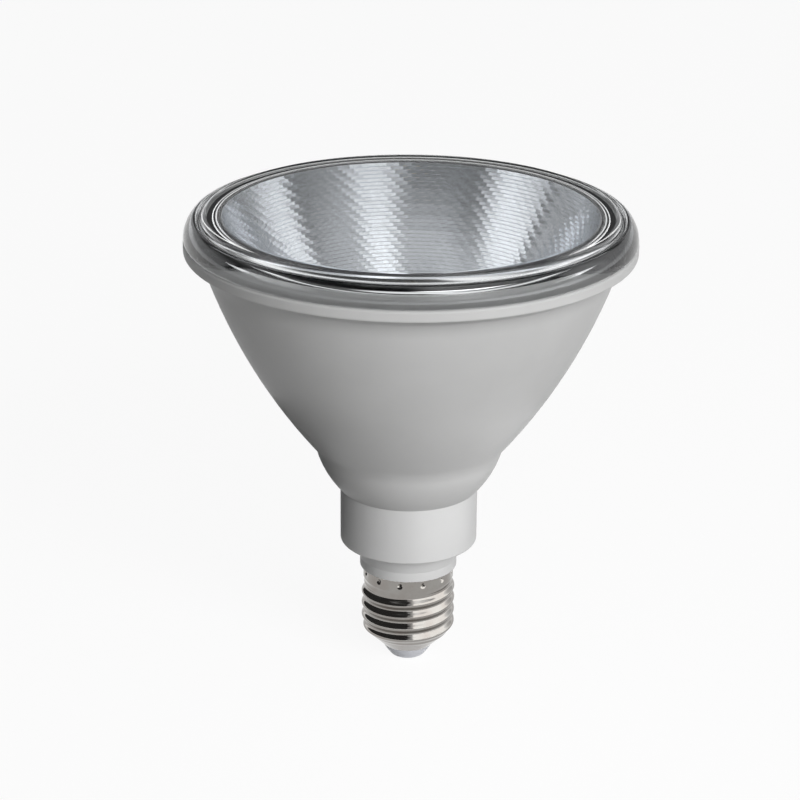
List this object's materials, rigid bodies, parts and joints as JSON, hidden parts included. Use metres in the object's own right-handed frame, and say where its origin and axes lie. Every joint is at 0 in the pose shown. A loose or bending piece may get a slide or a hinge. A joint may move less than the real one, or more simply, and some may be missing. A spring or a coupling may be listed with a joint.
{
  "type": "par spotlight bulb",
  "caption": "Reflector spotlight bulb with a flat clear window, a flared grey housing on a narrow neck, and a screw cap with a centre contact.",
  "frame": {"origin": "middle of the face of the centre contact, the lowest point of the cap", "axes": "+Z along the lamp's axis towards the window, -Y to the side the picture looks at, +X to the right in it"},
  "size_m": [0.1222, 0.1222, 0.132],
  "materials": {
    "clear_lens": "clear, polished, moulded in one with its rim bead",
    "seal_rubber": "milky silicone, satin",
    "housing_finish": "satin light grey, even",
    "sink_metal": "plain spun",
    "reflector_finish": "vacuum metallised over moulded plastic, scaled",
    "pad_rubber": "matt thermal silicone",
    "chip_ceramic": "matt alumina with a white dam",
    "phosphor_gel": "matt silicone gel",
    "holder_plastic": "matt white",
    "screw_steel": "zinc plated",
    "case_plastic": "satin light grey, even",
    "nickel": "bright nickel plate over brass sheet",
    "insulator_plastic": "satin white",
    "board_laminate": "green solder mask over glass-fibre laminate",
    "can_sleeve": "shrink sleeve, top of bare aluminium",
    "ferrite": "matt dark ferrite",
    "winding_wire": "enamelled copper wire under tape",
    "film_case": "glossy resin",
    "package_resin": "matt black resin",
    "disc_resin": "dipped blue resin",
    "fuse_coating": "matt cement coating",
    "lead_insulation": "matt silicone sleeve over tinned wire"
  },
  "bodies": {
    "root": {"front_lens": "clear_lens", "lens_seal": "seal_rubber", "housing": "housing_finish", "heat_sink": "sink_metal", "reflector": "reflector_finish", "thermal_pad": "pad_rubber", "led_board": "chip_ceramic", "led_phosphor": "phosphor_gel", "led_holder": "holder_plastic", "holder_screws": "screw_steel", "case_screws": "screw_steel", "neck_case": "case_plastic", "screw_shell": "nickel", "cap_insulator": "insulator_plastic", "centre_contact": "nickel", "driver_board": "board_laminate", "output_capacitor": "can_sleeve", "input_capacitor": "can_sleeve", "transformer_core": "ferrite", "transformer_winding": "winding_wire", "film_capacitor": "film_case", "choke": "ferrite", "bridge_rectifier": "package_resin", "driver_chip": "package_resin", "varistor": "disc_resin", "fuse_resistor": "fuse_coating", "live_lead": "lead_insulation", "neutral_lead": "lead_insulation", "lead_positive": "lead_insulation", "lead_negative": "lead_insulation"}
  },
  "joints": []
}
